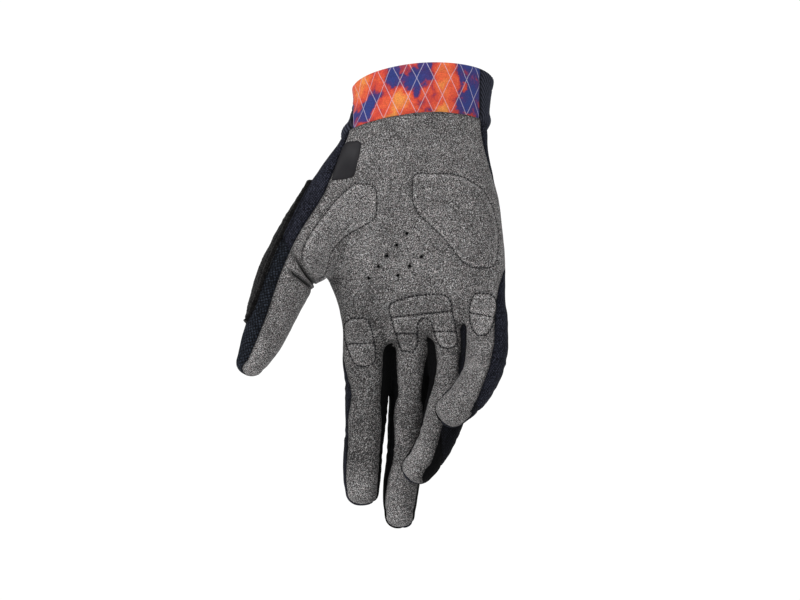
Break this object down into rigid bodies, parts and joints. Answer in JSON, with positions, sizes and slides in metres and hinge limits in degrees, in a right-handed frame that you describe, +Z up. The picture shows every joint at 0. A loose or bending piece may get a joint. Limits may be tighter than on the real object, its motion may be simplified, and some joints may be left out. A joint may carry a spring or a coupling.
{
  "type": "cycling glove",
  "caption": "Right-hand full-finger cycling glove held in a relaxed worn form: grey suede palm with padded patches, dark knit back, towelling thumb wipe and a printed pull-on cuff.",
  "frame": {"origin": "centre of the cuff's opening", "axes": "+Z runs up out of the cuff towards the forearm, -Y faces out of the palm, the thumb is on the -X side"},
  "size_m": [0.1387, 0.0584, 0.2397],
  "materials": {
    "suede": "matte brushed microfibre",
    "knit": "matte stretch knit",
    "mesh": "matte stretch mesh",
    "towelling": "looped terry",
    "print": "smooth printed stretch cloth",
    "rib": "ribbed elastic knit",
    "tag": "smooth heat-bonded tag"
  },
  "bodies": {
    "root": {"palm_panel": "suede", "back_panel": "knit", "thumb_front": "suede", "thumb_back": "knit", "thumb_wipe": "towelling", "index_middle_gusset": "mesh", "middle_ring_gusset": "mesh", "ring_little_gusset": "mesh", "cuff_print_band": "print", "cuff_rib_band": "rib", "thenar_pad": "suede", "hypothenar_pad": "suede", "index_pad": "suede", "finger_pad": "suede", "little_pad": "suede", "heel_label": "tag"}
  },
  "joints": []
}
